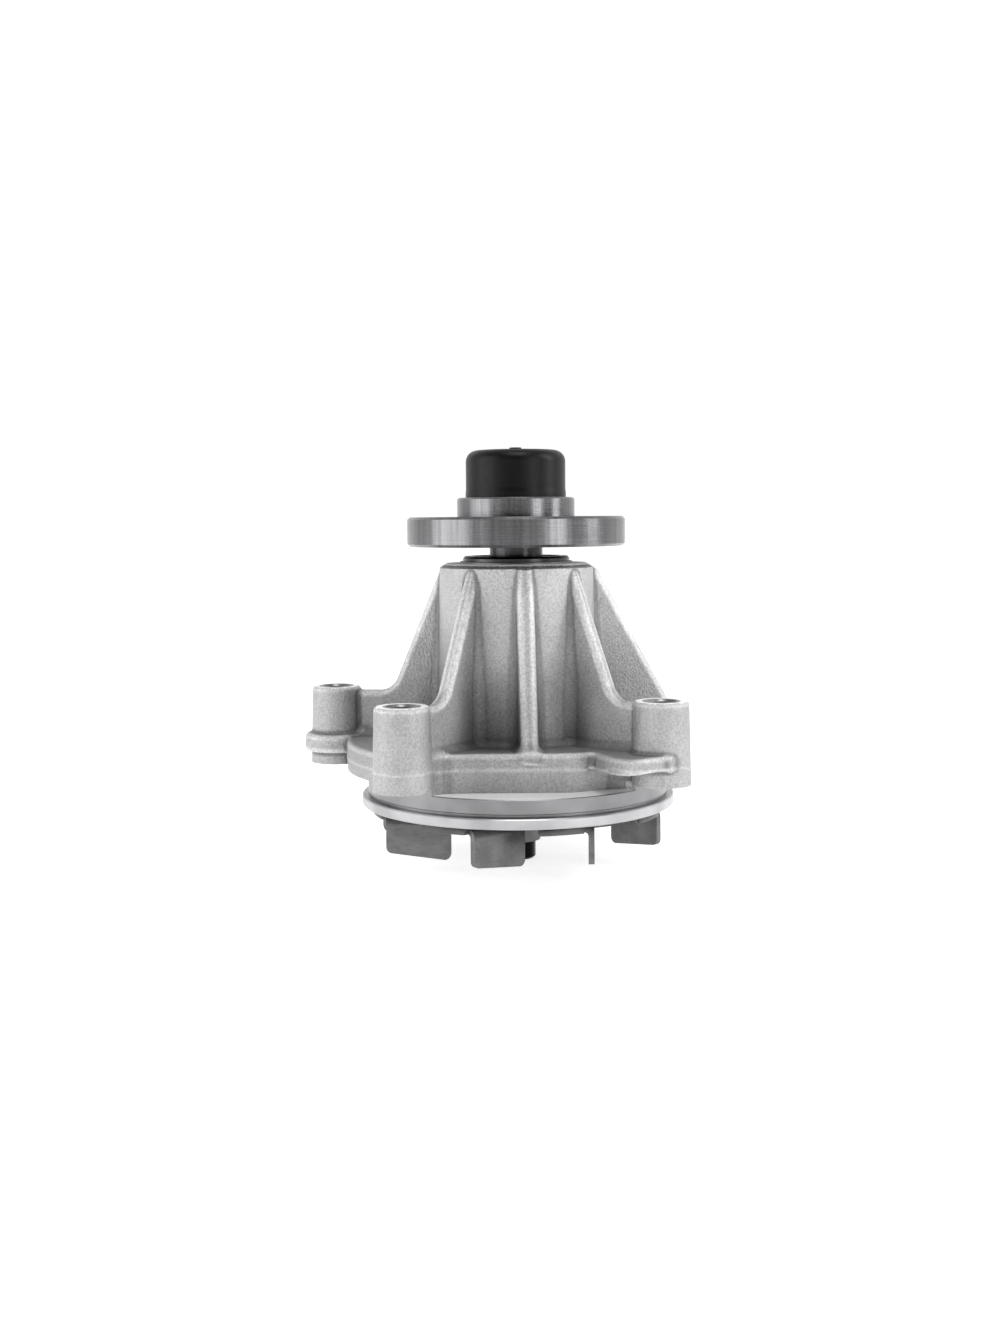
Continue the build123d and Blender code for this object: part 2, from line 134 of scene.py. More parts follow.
# Ribs without a boss: direction in degrees, radius at the shoulder, radius and height at the foot.
plain_ribs = [
    (6.2, 28.4, 39.8, 9.9),
    (98.0, 30.1, 57.0, 18.6),
    (-156.0, 28.4, 50.0, 9.9),
]
# Outline (x, y) of what is cut off the round flange at the front.
front_edge = [
    (-30.5, -80.0),
    (-30.5, -50.0),
    (-28.0, -44.5),
    (-22.0, -41.5),
    (13.0, -41.5),
    (19.5, -41.0),
    (26.0, -37.6),
    (33.0, -34.5),
    (38.8, -34.0),
    (40.5, -42.0),
    (43.0, -53.0),
    (47.0, -80.0),
]
# Outline (x, y) of the shelf beside the front right boss.
shelf_corners = [
    (23.0, -28.0),
    (25.5, -40.0),
    (31.0, -53.0),
    (36.5, -58.8),
    (43.0, -57.0),
    (53.0, -51.4),
    (53.0, -42.0),
    (47.0, -34.0),
    (36.0, -26.0),
]


# ---- Distance fields: negative inside, in millimetres ----


def round_union(a, b, radius):
    """Join two shapes with a fillet of the given radius in the corner between them."""
    return np.maximum(radius, np.minimum(a, b)) - np.hypot(
        np.maximum(radius - a, 0), np.maximum(radius - b, 0)
    )


def round_cut(a, b, radius):
    """Keep what is in both shapes, with the edge between them rounded off."""
    return np.minimum(-radius, np.maximum(a, b)) + np.hypot(
        np.maximum(radius + a, 0), np.maximum(radius + b, 0)
    )


def softened(corners, rounds=3):
    """Cut an outline's corners again and again, so that it turns in curves."""
    for _ in range(rounds):
        softer = []
        for (x0, y0), (x1, y1) in zip(corners, corners[1:] + corners[:1]):
            softer.append((0.75 * x0 + 0.25 * x1, 0.75 * y0 + 0.25 * y1))
            softer.append((0.25 * x0 + 0.75 * x1, 0.25 * y0 + 0.75 * y1))
        corners = softer
    return corners


def outline_distance(x, y, corners):
    """Signed distance to a closed outline in the plane."""
    far_away = 1e9
    nearest = np.full(np.broadcast(x, y).shape, far_away)
    inside = np.zeros(nearest.shape, bool)
    for (x0, y0), (x1, y1) in zip(corners, corners[1:] + corners[:1]):
        ex, ey = x1 - x0, y1 - y0
        wx, wy = x - x0, y - y0
        t = np.clip((wx * ex + wy * ey) / (ex * ex + ey * ey), 0, 1)
        nearest = np.minimum(nearest, (wx - t * ex) ** 2 + (wy - t * ey) ** 2)
        if ey != 0:
            inside ^= ((y >= y0) != (y >= y1)) & (x < x0 + wy * ex / ey)
    return np.where(inside, -1, 1) * np.sqrt(nearest)


def outline_table(corners):
    """Function that looks the distance to a softened outline up in a table."""
    spacing, margin = 0.25, 4
    low_x, low_y = housing_low[0] - margin, housing_low[1] - margin
    grid_x = np.arange(low_x, housing_high[0] + margin, spacing)
    grid_y = np.arange(low_y, housing_high[1] + margin, spacing)
    table = outline_distance(grid_x[:, None], grid_y[None, :], softened(corners))

    def distance(x, y):
        across = np.clip((x - low_x) / spacing, 0, len(grid_x) - 1.001)
        along = np.clip((y - low_y) / spacing, 0, len(grid_y) - 1.001)
        i, j = across.astype(int), along.astype(int)
        u, v = across - i, along - j
        near = table[i, j] * (1 - v) + table[i, j + 1] * v
        far = table[i + 1, j] * (1 - v) + table[i + 1, j + 1] * v
        return near * (1 - u) + far * u

    return distance


opening_distance = outline_table(front_edge)
shelf_distance = outline_table(shelf_corners)


def smooth_step(value, start, end):
    """0 before the start, 1 after the end, and an even curve between."""
    share = np.clip((value - start) / (end - start), 0, 1)
    return share * share * (3 - 2 * share)


def rib_field(x, y, z, tower, direction, section, thickness):
    """Tower with a rib in one direction. section gives the distance to the rib's outline."""
    a = math.radians(direction)
    along = x * math.sin(a) - y * math.cos(a)
    across = x * math.cos(a) + y * math.sin(a)
    outline = section(along, z)
    half = thickness / 2 + RIB_DRAFT * np.clip(-outline, 0, 30)
    side = np.maximum(np.abs(across) - half, RIB_ROOT - along)
    low_down = np.clip((RIB_SHOULDER_HEIGHT - z) / RIB_FILLET_DROP, 0, 1)
    fillet = RIB_FILLET[0] + (RIB_FILLET[1] - RIB_FILLET[0]) * low_down
    return round_cut(round_union(tower, side, fillet), outline, RIB_EDGE)


def slope_distance(along, z, radius, height, slope):
    """Distance outside a straight edge that leans out as it comes down."""
    return ((along - radius) + (z - height) * slope) / math.hypot(1, slope)


def boss_rib_section(reach):
    """Outline of a rib that comes down steeply and then runs out level to a boss."""

    def section(along, z):
        edge = slope_distance(along, z, RIB_SHOULDER, RIB_SHOULDER_HEIGHT, BOSS_RIB_SLOPE)
        ledge = np.maximum(z - LEDGE, along - reach)
        return round_union(edge, ledge, BOSS_RIB_CORNER)

    return section


def plain_rib_section(shoulder, foot, foot_height):
    """Outline of a rib that leans out from the tower down to the flange."""
    slope = (foot - shoulder) / (RIB_SHOULDER_HEIGHT - foot_height)

    def section(along, z):
        edge = slope_distance(along, z, shoulder, RIB_SHOULDER_HEIGHT, slope)
        return np.maximum(np.maximum(edge, along - foot), BODY_TOP - RIB_SINK - z)

    return section


def boss_field(x, y, z, boss):
    """A bolt boss, slightly wider at its foot than at its top."""
    bx, by, top_radius, pad_radius = boss
    radius = pad_radius + (top_radius - pad_radius) * z / BOSS_TOP
    return round_cut(np.hypot(x - bx, y - by) - radius, z - BOSS_TOP, BOSS_EDGE)


def body_field(x, y, z):
    """The flange with its shelf, without what lies below the mounting plane."""
    r = np.hypot(x, y)
    draft = WALL_DRAFT * np.abs(z - PARTING)
    plan = round_cut(r - BODY_RADIUS, -opening_distance(x, y), BODY_CORNER)
    rise = smooth_step(x, 28, 46) * smooth_step(y, -24, -42)
    floor, top = PARTING + SHELF_RISE[0] * rise, BODY_TOP + SHELF_RISE[1] * rise
    high = round_union(plan, shelf_distance(x, y), SHELF_FILLET) + draft
    lower = np.maximum(plan + draft, z - PARTING - 1)
    upper = round_cut(round_cut(high, z - top, 1.1), floor - z, 0.5)
    return np.minimum(lower, upper)


def ear_field(x, y, z):
    """The round pad under the left boss, which stands out beyond the flange."""
    ear_x, ear_y = bosses[0][:2]
    plan = np.hypot(x - ear_x, y - ear_y) - EAR_RADIUS
    return round_cut(round_cut(plan, z - EAR_TOP, 1.8), PARTING - z, 1.2)


def casting_field(x, y, z):
    """The rough casting above the mounting plane, with its fillets."""
    tower = np.hypot(x, y) - TOWER_RADIUS - TOWER_DRAFT * (TOWER_TOP - z)
    field = tower
    for boss in bosses:
        direction = math.degrees(math.atan2(boss[1], boss[0])) + 90
        section = boss_rib_section(math.hypot(boss[0], boss[1]))
        rib = rib_field(x, y, z, tower, direction, section, BOSS_RIB_THICKNESS)
        field = np.minimum(field, rib)
    for direction, shoulder, foot, foot_height in plain_ribs:
        section = plain_rib_section(shoulder, foot, foot_height)
        rib = rib_field(x, y, z, tower, direction, section, PLAIN_RIB_THICKNESS)
        field = np.minimum(field, rib)
    body = round_union(body_field(x, y, z), ear_field(x, y, z), EAR_FILLET)
    field = round_union(field, body, FLANGE_FILLET)
    for boss in bosses:
        field = round_union(field, boss_field(x, y, z, boss), BOSS_FILLET)
    return field


def seam_share(x, y, z):
    """1 on the line where the two halves of the die met, 0 away from it."""
    seam = PARTING + FLASH_RISE * smooth_step(y, -44, -52)
    ridge = np.exp(-(((z - seam) / FLASH_WIDTH) ** 2))
    return np.where(np.hypot(x, y) > SEAM_RADIUS, ridge, 0)


def tooling_field(x, y, z):
    """What the machine tools leave: the casting is kept only inside this."""
    r = np.hypot(x, y)
    cone = ((z - TOWER_TOP) + CONE_SLOPE * (r - CONE_RADIUS)) / math.hypot(1, CONE_SLOPE)
    keep = np.maximum(z - TOWER_TOP, cone)
    bore = np.maximum(r - bore_radius, bearing_foot - z)
    bore = np.minimum(bore, np.maximum(r - CHAMBER_RADIUS, SEAL_BORE_TOP - z))
    bore = np.minimum(bore, np.maximum(r - SEAL_BORE_RADIUS, WET_CAVITY_TOP - z))
    keep = np.maximum(keep, -bore)
    keep = np.maximum(keep, -np.maximum(r - WET_CAVITY_RADIUS, z - WET_CAVITY_TOP))
    overlap = 0.3
    for bx, by, top_radius, _ in bosses:
        distance = np.hypot(x - bx, y - by)
        seat_floor = BOSS_TOP - RIM_DEPTH + overlap
        seat = np.maximum(distance - RIM_RADIUS + overlap, seat_floor - z)
        keep = np.maximum(keep, -np.minimum(distance - BOLT_RADIUS, seat))
        keep = np.maximum(keep, np.minimum(z - BOSS_TOP + 0.05, top_radius + 1 - distance))
    return keep


def housing_field(x, y, z):
    """The casting and its skirt, as tooled, without the pilot below the skirt."""
    r = np.hypot(x, y)
    above = np.maximum(casting_field(x, y, z) - FLASH_HEIGHT * seam_share(x, y, z), -z)
    wall = np.maximum(r - LAND_RADIUS, -opening_distance(x, y) + WALL_DRAFT * (PARTING - z))
    overlap = 0.5
    skirt = np.maximum(np.maximum(wall, z - overlap), SKIRT_BOTTOM - overlap - z)
    beside = np.maximum(
        np.maximum(housing_low[0] - x, x - housing_high[0]),
        np.maximum(housing_low[1] - y, y - housing_high[1]),
    )
    casting = np.maximum(np.minimum(above, skirt), beside + BOX_MARGIN)
    return np.maximum(casting, tooling_field(x, y, z))


# ---- Mesh from a distance field, by dual contouring ----


def read(items, key, width=3):
    """A property of all vertices, faces or corners of a mesh, as one array."""
    if width == 1:
        values = np.empty(len(items), np.int64)
        items.foreach_get(key, values)
        return values
    values = np.empty(len(items) * width)
    items.foreach_get(key, values)
    return values.reshape(-1, width)


def grid_edges(values, axis):
    """Cells at the lower end of each grid edge that the surface crosses, with the crossing."""
    low = [slice(None)] * 3
    high = [slice(None)] * 3
    low[axis] = slice(0, -1)
    high[axis] = slice(1, None)
    a, b = values[tuple(low)], values[tuple(high)]
    where = np.argwhere((a < 0) != (b < 0))
    first = a[tuple(where.T)]
    second = b[tuple(where.T)]
    return where, first / (first - second), first < 0


def contour(field, low, high, step, name):
    """Closed mesh of a distance field's surface. Sharp edges of the field stay sharp."""
    axes = [np.arange(low[i], high[i] + step, step) for i in range(3)]
    size = [len(a) for a in axes]
    values = np.empty(size, np.float32)
    slab = 16
    for start in range(0, size[2], slab):
        part = slice(start, start + slab)
        values[:, :, part] = field(
            axes[0][:, None, None], axes[1][None, :, None], axes[2][None, None, part]
        )
    origin = np.array([a[0] for a in axes])
    cells = np.array(size)
    quads, cell_ids, rows_n, rows_p = [], [], [], []
    for axis in range(3):
        where, share, out = grid_edges(values, axis)
        point = where.astype(float)
        point[:, axis] += share
        point = origin + point * step
        normal = gradient(field, point)
        u, v = (axis + 1) % 3, (axis + 2) % 3
        corners = []
        for du, dv in ((0, 0), (-1, 0), (-1, -1), (0, -1)):
            cell = where.copy()
            cell[:, u] += du
            cell[:, v] += dv
            corners.append((cell[:, 0] * cells[1] + cell[:, 1]) * cells[2] + cell[:, 2])
        ring = np.stack(corners, 1)
        ring[~out] = ring[~out][:, ::-1]
        quads.append(ring)
        for corner in corners:
            cell_ids.append(corner)
            rows_n.append(normal)
            rows_p.append(point)
    quads = np.concatenate(quads)
    ids, slot = np.unique(np.concatenate(cell_ids), return_inverse=True)
    normals = np.concatenate(rows_n)
    points = np.concatenate(rows_p)
    count = np.bincount(slot)
    mean = np.stack([np.bincount(slot, points[:, i]) / count for i in range(3)], 1)
    offset = (normals * (points - mean[slot])).sum(1)
    matrix = np.zeros((len(ids), 3, 3))
    vector = np.zeros((len(ids), 3))
    for i in range(3):
        vector[:, i] = np.bincount(slot, normals[:, i] * offset)
        for j in range(3):
            matrix[:, i, j] = np.bincount(slot, normals[:, i] * normals[:, j])
    steadying, furthest = 0.05, 0.9 * step
    matrix += np.eye(3) * steadying
    shift = np.linalg.solve(matrix, vector[:, :, None])[:, :, 0]
    length = np.linalg.norm(shift, axis=1, keepdims=True)
    shift *= np.minimum(1, furthest / np.maximum(length, TINY))
    vertices = (mean + shift) * MM
    faces = np.searchsorted(ids, quads)
    mesh = bpy.data.meshes.new(name)
    mesh.from_pydata(vertices.tolist(), [], faces.tolist())
    mesh.validate()
    return bpy.data.objects.new(name, mesh)


def gradient(field, point):
    """Unit direction in which the field grows fastest."""
    reach = 0.02
    result = np.empty_like(point)
    for axis in range(3):
        ahead, behind = point.copy(), point.copy()
        ahead[:, axis] += reach
        behind[:, axis] -= reach
        result[:, axis] = field(*ahead.T) - field(*behind.T)
    return result / np.maximum(np.linalg.norm(result, axis=1, keepdims=True), TINY)


def true_normals(obj, field):
    """Shade each face corner with the field's own direction, measured a little inside the face."""
    mesh = obj.data
    corner = read(mesh.vertices, "co")[read(mesh.loops, "vertex_index", 1)]
    size = read(mesh.polygons, "loop_total", 1)
    centre = np.repeat(read(mesh.polygons, "center"), size, axis=0)
    facing = np.repeat(read(mesh.polygons, "normal"), size, axis=0)
    point = (0.6 * corner + 0.4 * centre) / MM
    normal = gradient(field, point)
    astray = (normal * facing).sum(1) < 0.8
    normal[astray] = facing[astray]
    mesh.normals_split_custom_set(normal.tolist())


def mark_edge_light_and_fillet_shade(obj, field):
    """Store how the surface bends at each vertex, 0 in fillets, 0.5 flat, 1 on edges, raised on
    the flash line, for painted highlights on edges and the flash and painted shade in fillets.
    """
    reach = 0.7
    at = read(obj.data.vertices, "co") / MM
    bend = -6 * field(*at.T)
    for axis in range(3):
        for step in (-reach, reach):
            moved = at.copy()
            moved[:, axis] += step
            bend += field(*moved.T)
    level = np.clip(0.5 + bend / reach**2, 0, 1) + SEAM_LIGHT * seam_share(*at.T)
    store(obj.data, "edge", level)


def mark_painted_shade(obj):
    """Store painted shade at each vertex: darker low between the ribs, and a painted shadow of the
    hub's flange on the cone round the bore.

    The bay right of the front rib is painted lighter than the others, and the one left of it
    darker, as if lit from the right.
    """
    x, y, z = read(obj.data.vertices, "co").T / MM
    r = np.hypot(x, y)
    direction = np.degrees(np.arctan2(x, -y))
    # Painted shade, deepest low down between the ribs, where little light reaches.
    painted_shade = smooth_step(-r, -40, -31) * smooth_step(-z, -48, -14)
    # Painted light: the bay right of the front rib lit, the one left of it in deeper shade.
    painted_shade *= 1 - 0.6 * smooth_step(direction, 5, 12) * smooth_step(-direction, -40, -34)
    painted_shade *= 1 + 0.35 * smooth_step(-direction, 6, 12) * smooth_step(direction, -34, -28)
    # Painted shadow of the hub's flange on the cone at the top of the tower.
    cone = 1.15 * smooth_step(-r, -27.5, -25.5) * (z > TOWER_TOP - 4)
    store(obj.data, "painted_shade", np.maximum(painted_shade, cone))


def store(mesh, name, level):
    """Keep a number for each vertex, which a material can read."""
    layer = mesh.attributes.new(name, "FLOAT", "POINT")
    layer.data.foreach_set("value", level.astype(np.float32))


def shade(obj, angle):
    """Smooth shading that stays crisp across edges sharper than the angle."""
    mesh = obj.data
    mesh.polygons.foreach_set("use_smooth", [True] * len(mesh.polygons))
    mesh.set_sharp_from_angle(angle=math.radians(angle))


def lathe(name, outline, steps):
    """Closed ring turned about Z from a closed outline of (radius, height) in millimetres."""
    count = len(outline)
    vertices = []
    for index in range(steps):
        turn = 2 * math.pi * index / steps
        c, s = math.cos(turn), math.sin(turn)
        vertices += [(r * c * MM, r * s * MM, z * MM) for r, z in outline]
    faces = []
    for index in range(steps):
        here, there = index * count, (index + 1) % steps * count
        for k in range(count):
            n = (k + 1) % count
            faces.append((here + k, here + n, there + n, there + k))
    mesh = bpy.data.meshes.new(name)
    mesh.from_pydata(vertices, [], faces)
    tidy = bmesh.new()
    tidy.from_mesh(mesh)
    bmesh.ops.recalc_face_normals(tidy, faces=tidy.faces)
    tidy.to_mesh(mesh)
    tidy.free()
    return bpy.data.objects.new(name, mesh)


def place(obj, body, materials, replaced):
    """Put a new piece in the scene with its body and finish, and hide the CAD node it stands for.
    """
    bpy.context.scene.collection.objects.link(obj)
    for material in materials:
        obj.data.materials.append(material)
    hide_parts(replaced)
    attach(obj, body)


# ---- Materials ----


class Finish:
    """A node material that is built up in small steps, measured in millimetres."""

    def __init__(self, name, colour, metallic, roughness, **sockets):
        self.material = bpy.data.materials.new(name)
        self.material.use_nodes = True
        self.nodes = self.material.node_tree.nodes
        self.links = self.material.node_tree.links
        self.shader = self.nodes["Principled BSDF"]
        self.shader.inputs["Base Color"].default_value = (*colour, 1)
        self.shader.inputs["Metallic"].default_value = metallic
        self.shader.inputs["Roughness"].default_value = roughness
        for socket, value in sockets.items():
            self.shader.inputs[socket].default_value = value
        coordinates = self.nodes.new("ShaderNodeTexCoord")
        self.place = self.nodes.new("ShaderNodeVectorMath")
        self.place.operation = "SCALE"
        self.place.inputs["Scale"].default_value = 1 / MM
        self.links.new(coordinates.outputs["Object"], self.place.inputs[0])
        self.height = None

    def stretched(self, x, y, z):
        """The place in millimetres with each axis scaled."""
        node = self.nodes.new("ShaderNodeVectorMath")
        node.operation = "MULTIPLY"
        node.inputs[1].default_value = (x, y, z)
        self.links.new(self.place.outputs[0], node.inputs[0])
        return node.outputs[0]

    def turned(self, along, around):
        """Lathe coordinates: radius and height scaled by along, the angle by around."""
        split = self.nodes.new("ShaderNodeSeparateXYZ")
        self.links.new(self.place.outputs[0], split.inputs[0])
        square_x = self.math("POWER", split.outputs[0], 2.0)
        square_y = self.math("POWER", split.outputs[1], 2.0)
        radius = self.math("SQRT", self.math("ADD", square_x, square_y))
        angle = self.math("ARCTAN2", split.outputs[1], split.outputs[0])
        join = self.nodes.new("ShaderNodeCombineXYZ")
        self.links.new(self.math("MULTIPLY", radius, along), join.inputs[0])
        self.links.new(self.math("MULTIPLY", angle, around), join.inputs[1])
        self.links.new(self.math("MULTIPLY", split.outputs[2], along), join.inputs[2])
        return join.outputs[0]

    def math(self, operation, a, b=None):
        """One arithmetic step on one or two values, each a number or a node's output."""
        node = self.nodes.new("ShaderNodeMath")
        node.operation = operation
        for socket, value in zip(node.inputs, (a, b)):
            if value is None:
                continue
            if isinstance(value, (int, float)):
                socket.default_value = value
            else:
                self.links.new(value, socket)
        return node.outputs[0]

    def height_above(self):
        """Height over the mounting plane in millimetres."""
        split = self.nodes.new("ShaderNodeSeparateXYZ")
        self.links.new(self.place.outputs[0], split.inputs[0])
        return split.outputs["Z"]

    def attribute(self, name):
        """A number stored with each vertex of the mesh."""
        node = self.nodes.new("ShaderNodeAttribute")
        node.attribute_name = name
        return node.outputs["Fac"]

    def noise(self, scale, detail=3.0, rough=0.55, where=None):
        """Cloudy noise between 0 and 1. The scale is per millimetre."""
        node = self.nodes.new("ShaderNodeTexNoise")
        node.inputs["Scale"].default_value = scale
        node.inputs["Detail"].default_value = detail
        node.inputs["Roughness"].default_value = rough
        self.links.new(where or self.place.outputs[0], node.inputs["Vector"])
        return node.outputs["Fac"]

    def ramp(self, value, low, high, out_low=0.0, out_high=1.0):
        """Map a value's range onto another one."""
        node = self.nodes.new("ShaderNodeMapRange")
        node.inputs["From Min"].default_value = low
        node.inputs["From Max"].default_value = high
        node.inputs["To Min"].default_value = out_low
        node.inputs["To Max"].default_value = out_high
        self.links.new(value, node.inputs["Value"])
        return node.outputs["Result"]

    def tint(self, value, low, high, dark, light):
        """Base colour between two tones as a value goes from low to high."""
        current = self.shader.inputs["Base Color"]
        node = self.nodes.new("ShaderNodeMix")
        node.data_type = "RGBA"
        self.links.new(self.ramp(value, low, high), node.inputs["Factor"])
        node.inputs[6].default_value = (*dark, 1)
        node.inputs[7].default_value = (*light, 1)
        self.links.new(node.outputs[2], current)

    def shade_by(self, value, low, high, factor_low, factor_high):
        """Multiply the base colour by a factor that follows a value."""
        current = self.shader.inputs["Base Color"]
        node = self.nodes.new("ShaderNodeVectorMath")
        node.operation = "SCALE"
        if current.is_linked:
            self.links.new(current.links[0].from_socket, node.inputs[0])
        else:
            node.inputs[0].default_value = current.default_value[:3]
        factor = self.ramp(value, low, high, factor_low, factor_high)
        self.links.new(factor, node.inputs["Scale"])
        self.links.new(node.outputs[0], current)

    def rough(self, value, low, high, smooth, coarse):
        """Roughness that goes from smooth to coarse as a value goes from low to high."""
        level = self.ramp(value, low, high, smooth, coarse)
        self.links.new(level, self.shader.inputs["Roughness"])

    def bump(self, value, depth, strength=1.0):
        """Add relief of the given depth in millimetres."""
        node = self.nodes.new("ShaderNodeBump")
        node.inputs["Strength"].default_value = strength
        node.inputs["Distance"].default_value = depth * MM
        self.links.new(value, node.inputs["Height"])
        if self.height is not None:
            self.links.new(self.height, node.inputs["Normal"])
        self.height = node.outputs["Normal"]
        self.links.new(self.height, self.shader.inputs["Normal"])


def cast_aluminium():
    """Shot-blasted die casting, with painted highlights on its edges, painted shade in its corners
    and between the ribs, and painted light growing towards the top.
    """
    finish = Finish("cast_aluminium", (0.5, 0.5, 0.5), 0.8, 0.5)
    grain = finish.noise(1.25, 3.0, 0.7)
    patches = finish.noise(0.05, 2.0)
    edge = finish.attribute("edge")
    finish.tint(patches, 0.3, 0.7, (0.325, 0.325, 0.33), (0.385, 0.385, 0.385))
    # Painted shade between the ribs and painted shadow on the cone under the hub.
    finish.shade_by(finish.attribute("painted_shade"), 0.0, 2.0, 1.0, 0.2)
    # Painted light: darker low down and lighter up the tower, as the light falls from above.
    finish.shade_by(finish.height_above(), 25, 55, 0.86, 1.06)
    finish.shade_by(grain, 0.38, 0.62, 0.80, 1.13)
    # Painted highlight on edges and the flash line, painted shade in fillets.
    finish.shade_by(edge, 0.1, 1.0, 0.70, 2.0)
    finish.rough(grain, 0.3, 0.7, 0.40, 0.54)
    finish.bump(finish.noise(0.3, 2.0, 0.5), 0.2, 0.5)
    finish.bump(grain, 0.45, 1.0)
    return finish.material


def machined_aluminium():
    """Turned faces with fine lines round the axis, with painted shade on all of them above the
    pilot's lip, so the lip is the lightest.
    """
    finish = Finish("machined_aluminium", (0.46, 0.46, 0.47), 0.85, 0.34)
    lines = finish.noise(1.0, 3.0, 0.7, finish.turned(9.0, 0.35))
    patches = finish.noise(0.08, 2.0)
    finish.tint(patches, 0.3, 0.7, (0.38, 0.38, 0.39), (0.50, 0.50, 0.51))
    # Painted shade: the land and every turned face above the lip darker than the lip.
    finish.shade_by(finish.height_above(), LIP_TOP - 0.05, LIP_TOP + 0.05, 1.0, 0.55)
    finish.rough(lines, 0.3, 0.7, 0.28, 0.44)
    finish.bump(lines, 0.02, 0.6)
    return finish.material


def milled_aluminium():
    """The pale flat faces that were milled last."""
    finish = Finish("milled_aluminium", (0.95, 0.95, 0.95), 0.15, 0.42)
    lines = finish.noise(1.0, 3.0, 0.7, finish.turned(5.0, 0.35))
    finish.shade_by(lines, 0.3, 0.7, 0.86, 1.08)
    finish.bump(lines, 0.02, 0.5)
    return finish.material


def turned_steel():
    """Lightly oiled steel with turning lines and streaks across them."""
    finish = Finish("turned_steel", (0.27, 0.27, 0.275), 1.0, 0.26)
    lines = finish.noise(1.0, 4.0, 0.75, finish.turned(7.0, 0.4))
    streaks = finish.noise(1.0, 3.0, 0.7, finish.turned(0.02, 22.0))
    finish.tint(streaks, 0.35, 0.65, (0.15, 0.15, 0.155), (0.22, 0.22, 0.225))
    finish.rough(lines, 0.3, 0.7, 0.18, 0.32)
    finish.bump(lines, 0.02, 0.6)
    return finish.material


def ground_steel():
    """Steel in a very dark tone, partly its own and partly painted shade for the hub's shadow on
    the shaft's neck and the bearing ring; darker still towards the shaft's lower end.
    """
    finish = Finish("ground_steel", (0.16, 0.16, 0.165), 1.0, 0.25)
    lines = finish.noise(1.0, 3.0, 0.7, finish.turned(12.0, 0.5))
    patches = finish.noise(0.2, 3.0)
    # Partly painted shade: a very dark tone for the neck and bearing ring, which lie in the hub's
    # shadow.
    finish.tint(patches, 0.3, 0.7, (0.035, 0.035, 0.037), (0.07, 0.07, 0.072))
    finish.shade_by(finish.height_above(), -20, -10, 0.12, 1.0)
    finish.rough(lines, 0.3, 0.7, 0.18, 0.3)
    finish.bump(lines, 0.01, 0.5)
    return finish.material


def stamped_steel():
    """Cold-rolled sheet with mill streaks, with a painted shadow of the housing's lip on the
    blades near the impeller's disc.
    """
    finish = Finish("stamped_steel", (0.22, 0.22, 0.22), 1.0, 0.42)
    mill = finish.noise(1.0, 4.0, 0.6, finish.stretched(0.25, 2.2, 2.2))
    patches = finish.noise(0.13, 4.0, 0.6)
    finish.tint(patches, 0.35, 0.65, (0.13, 0.13, 0.13), (0.19, 0.19, 0.188))
    finish.shade_by(mill, 0.3, 0.7, 0.78, 1.15)
    # Painted shadow of the lip: the blades' upper part, near the disc, darker.
    finish.shade_by(finish.height_above(), -17.5, -13.5, 1.0, 0.4)
    finish.rough(mill, 0.3, 0.7, 0.34, 0.52)
    finish.bump(mill, 0.03, 0.6)
    return finish.material


def black_rubber(name, tone):
    """Moulded satin rubber, a little uneven."""
    colour = (tone, tone, tone * 1.03)
    finish = Finish(name, colour, 0.0, 0.42, **{"Specular IOR Level": 0.2})
    finish.rough(finish.noise(0.5, 3.0), 0.3, 0.7, 0.34, 0.44)
    finish.bump(finish.noise(3.0, 2.0), 0.03, 0.5)
    finish.bump(finish.noise(0.12, 2.0), 0.3, 0.3)
    return finish.material


def hidden_finish(name, colour, metallic, roughness):
    """A lightly grained finish for the pieces inside the pump."""
    finish = Finish(name, colour, metallic, roughness)
    grain = finish.noise(1.2, 3.0)
    finish.shade_by(grain, 0.3, 0.7, 0.9, 1.08)
    finish.rough(grain, 0.3, 0.7, roughness * 0.8, min(1.0, roughness * 1.2))
    finish.bump(grain, 0.02, 0.5)
    return finish.material


def softened_copy(node, width):
    """Copy of a CAD node with its sharp edges rounded off by a width in millimetres."""
    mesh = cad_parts[node].data.copy()
    work = bmesh.new()
    work.from_mesh(mesh)
    bmesh.ops.remove_doubles(work, verts=work.verts, dist=1e-6)
    bmesh.ops.dissolve_limit(
        work, angle_limit=math.radians(0.5), verts=work.verts, edges=work.edges
    )
    sharp = [
        e
        for e in work.edges
        if len(e.link_faces) == 2 and e.calc_face_angle() > math.radians(40)
    ]
    bmesh.ops.bevel(
        work,
        geom=sharp,
        offset=width * MM,
        segments=2,
        profile=0.5,
        affect="EDGES",
        clamp_overlap=True,
    )
    work.to_mesh(mesh)
    work.free()
    obj = bpy.data.objects.new(node + "_rounded", mesh)
    shade(obj, 50)
    return obj


